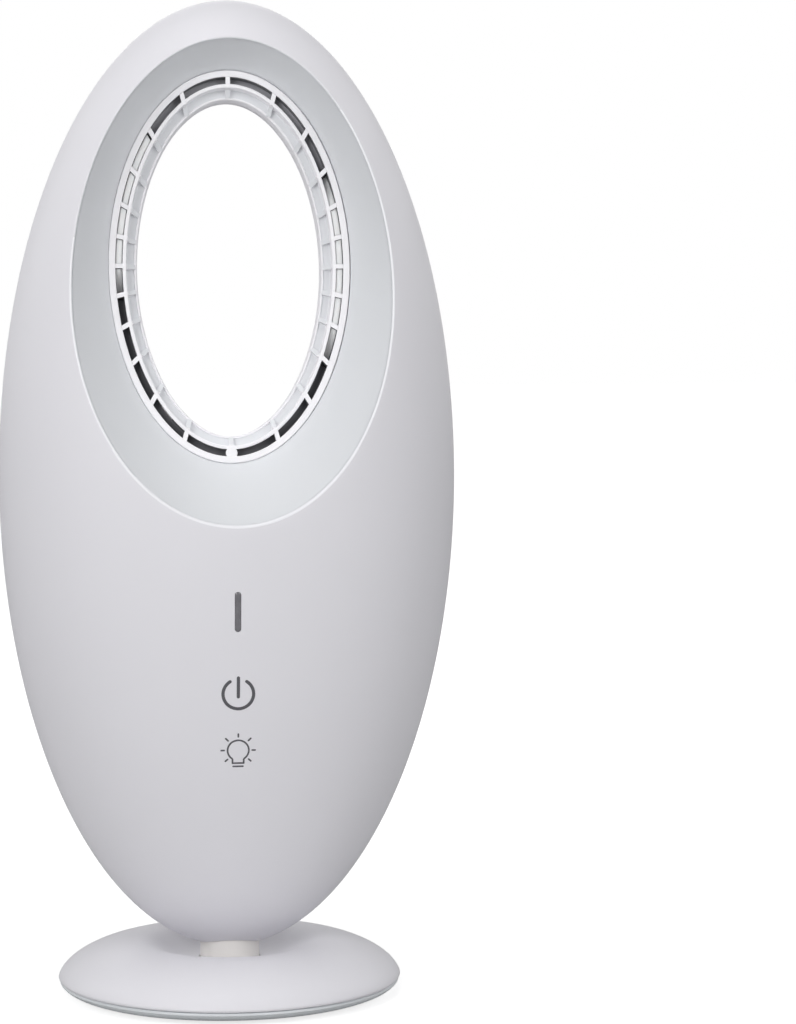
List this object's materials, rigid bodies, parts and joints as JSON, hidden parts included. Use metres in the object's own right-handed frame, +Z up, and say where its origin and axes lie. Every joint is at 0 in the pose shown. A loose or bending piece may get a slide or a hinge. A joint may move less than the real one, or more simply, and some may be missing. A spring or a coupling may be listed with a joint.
{
  "type": "bladeless fan",
  "caption": "Egg-shaped desk bladeless fan with an open oval air outlet in the upper half, on a short neck and round weighted base.",
  "frame": {"origin": "middle of the base on the surface that it stands on", "axes": "+Z up, the air outlet and the touch signs face -Y, +X to the right as seen from the front"},
  "size_m": [0.1376, 0.103, 0.3],
  "materials": {
    "white_shell": "satin white moulded ABS",
    "white_grille": "satin white moulded ABS",
    "grey_tray": "light grey moulded ABS",
    "warm_neck": "satin warm white plastic",
    "diffuser": "milky light diffuser",
    "smoke_lens": "smoked clear plastic",
    "dark_plastic": "dark grey nylon",
    "acetal": "natural acetal",
    "rubber": "matt black rubber",
    "foam": "conductive foam",
    "steel": "plated steel",
    "ballast_steel": "grey coated steel",
    "cell_sleeve": "shrink sleeve on a lithium cell",
    "circuit_board": "solder mask on glass epoxy"
  },
  "bodies": {
    "base": {"base_top_shell": "white_shell", "base_bottom_tray": "grey_tray", "ballast_ring": "ballast_steel", "swivel_bush": "acetal", "friction_washer": "steel", "foot_1": "rubber", "foot_2": "rubber", "foot_3": "rubber", "foot_4": "rubber", "base_screw_1": "steel", "base_screw_2": "steel", "base_screw_3": "steel"},
    "head": {"front_shell": "white_shell", "rear_shell": "white_shell", "intake_grille": "white_shell", "outlet_grille": "white_grille", "light_guide_right": "diffuser", "light_guide_left": "diffuser", "led_strip_right": "circuit_board", "led_strip_left": "circuit_board", "neck_post": "warm_neck", "post_retainer": "acetal", "battery_cell": "cell_sleeve", "battery_cradle": "dark_plastic", "control_board": "circuit_board", "touch_pad_power": "foam", "touch_pad_lamp": "foam", "indicator_lens": "smoke_lens", "usb_socket": "steel", "charge_board": "circuit_board", "impeller_duct": "dark_plastic", "baffle_plate": "dark_plastic", "motor": "steel", "shell_screw_1": "steel", "shell_screw_2": "steel", "shell_screw_3": "steel", "shell_screw_4": "steel"},
    "rotor": {"impeller": "dark_plastic", "hub_cap": "dark_plastic", "motor_shaft": "steel"}
  },
  "joints": [
    {"name": "head_swivel", "type": "hinge", "parent": "base", "child": "head", "pos_m": [0, 0, 0.008], "axis": [0, 0, 1], "range_deg": [-45, 45]},
    {"name": "impeller_spin", "type": "hinge", "parent": "head", "child": "rotor", "pos_m": [0, 0, 0.085], "axis": [0, 0, 1], "continuous": true}
  ]
}
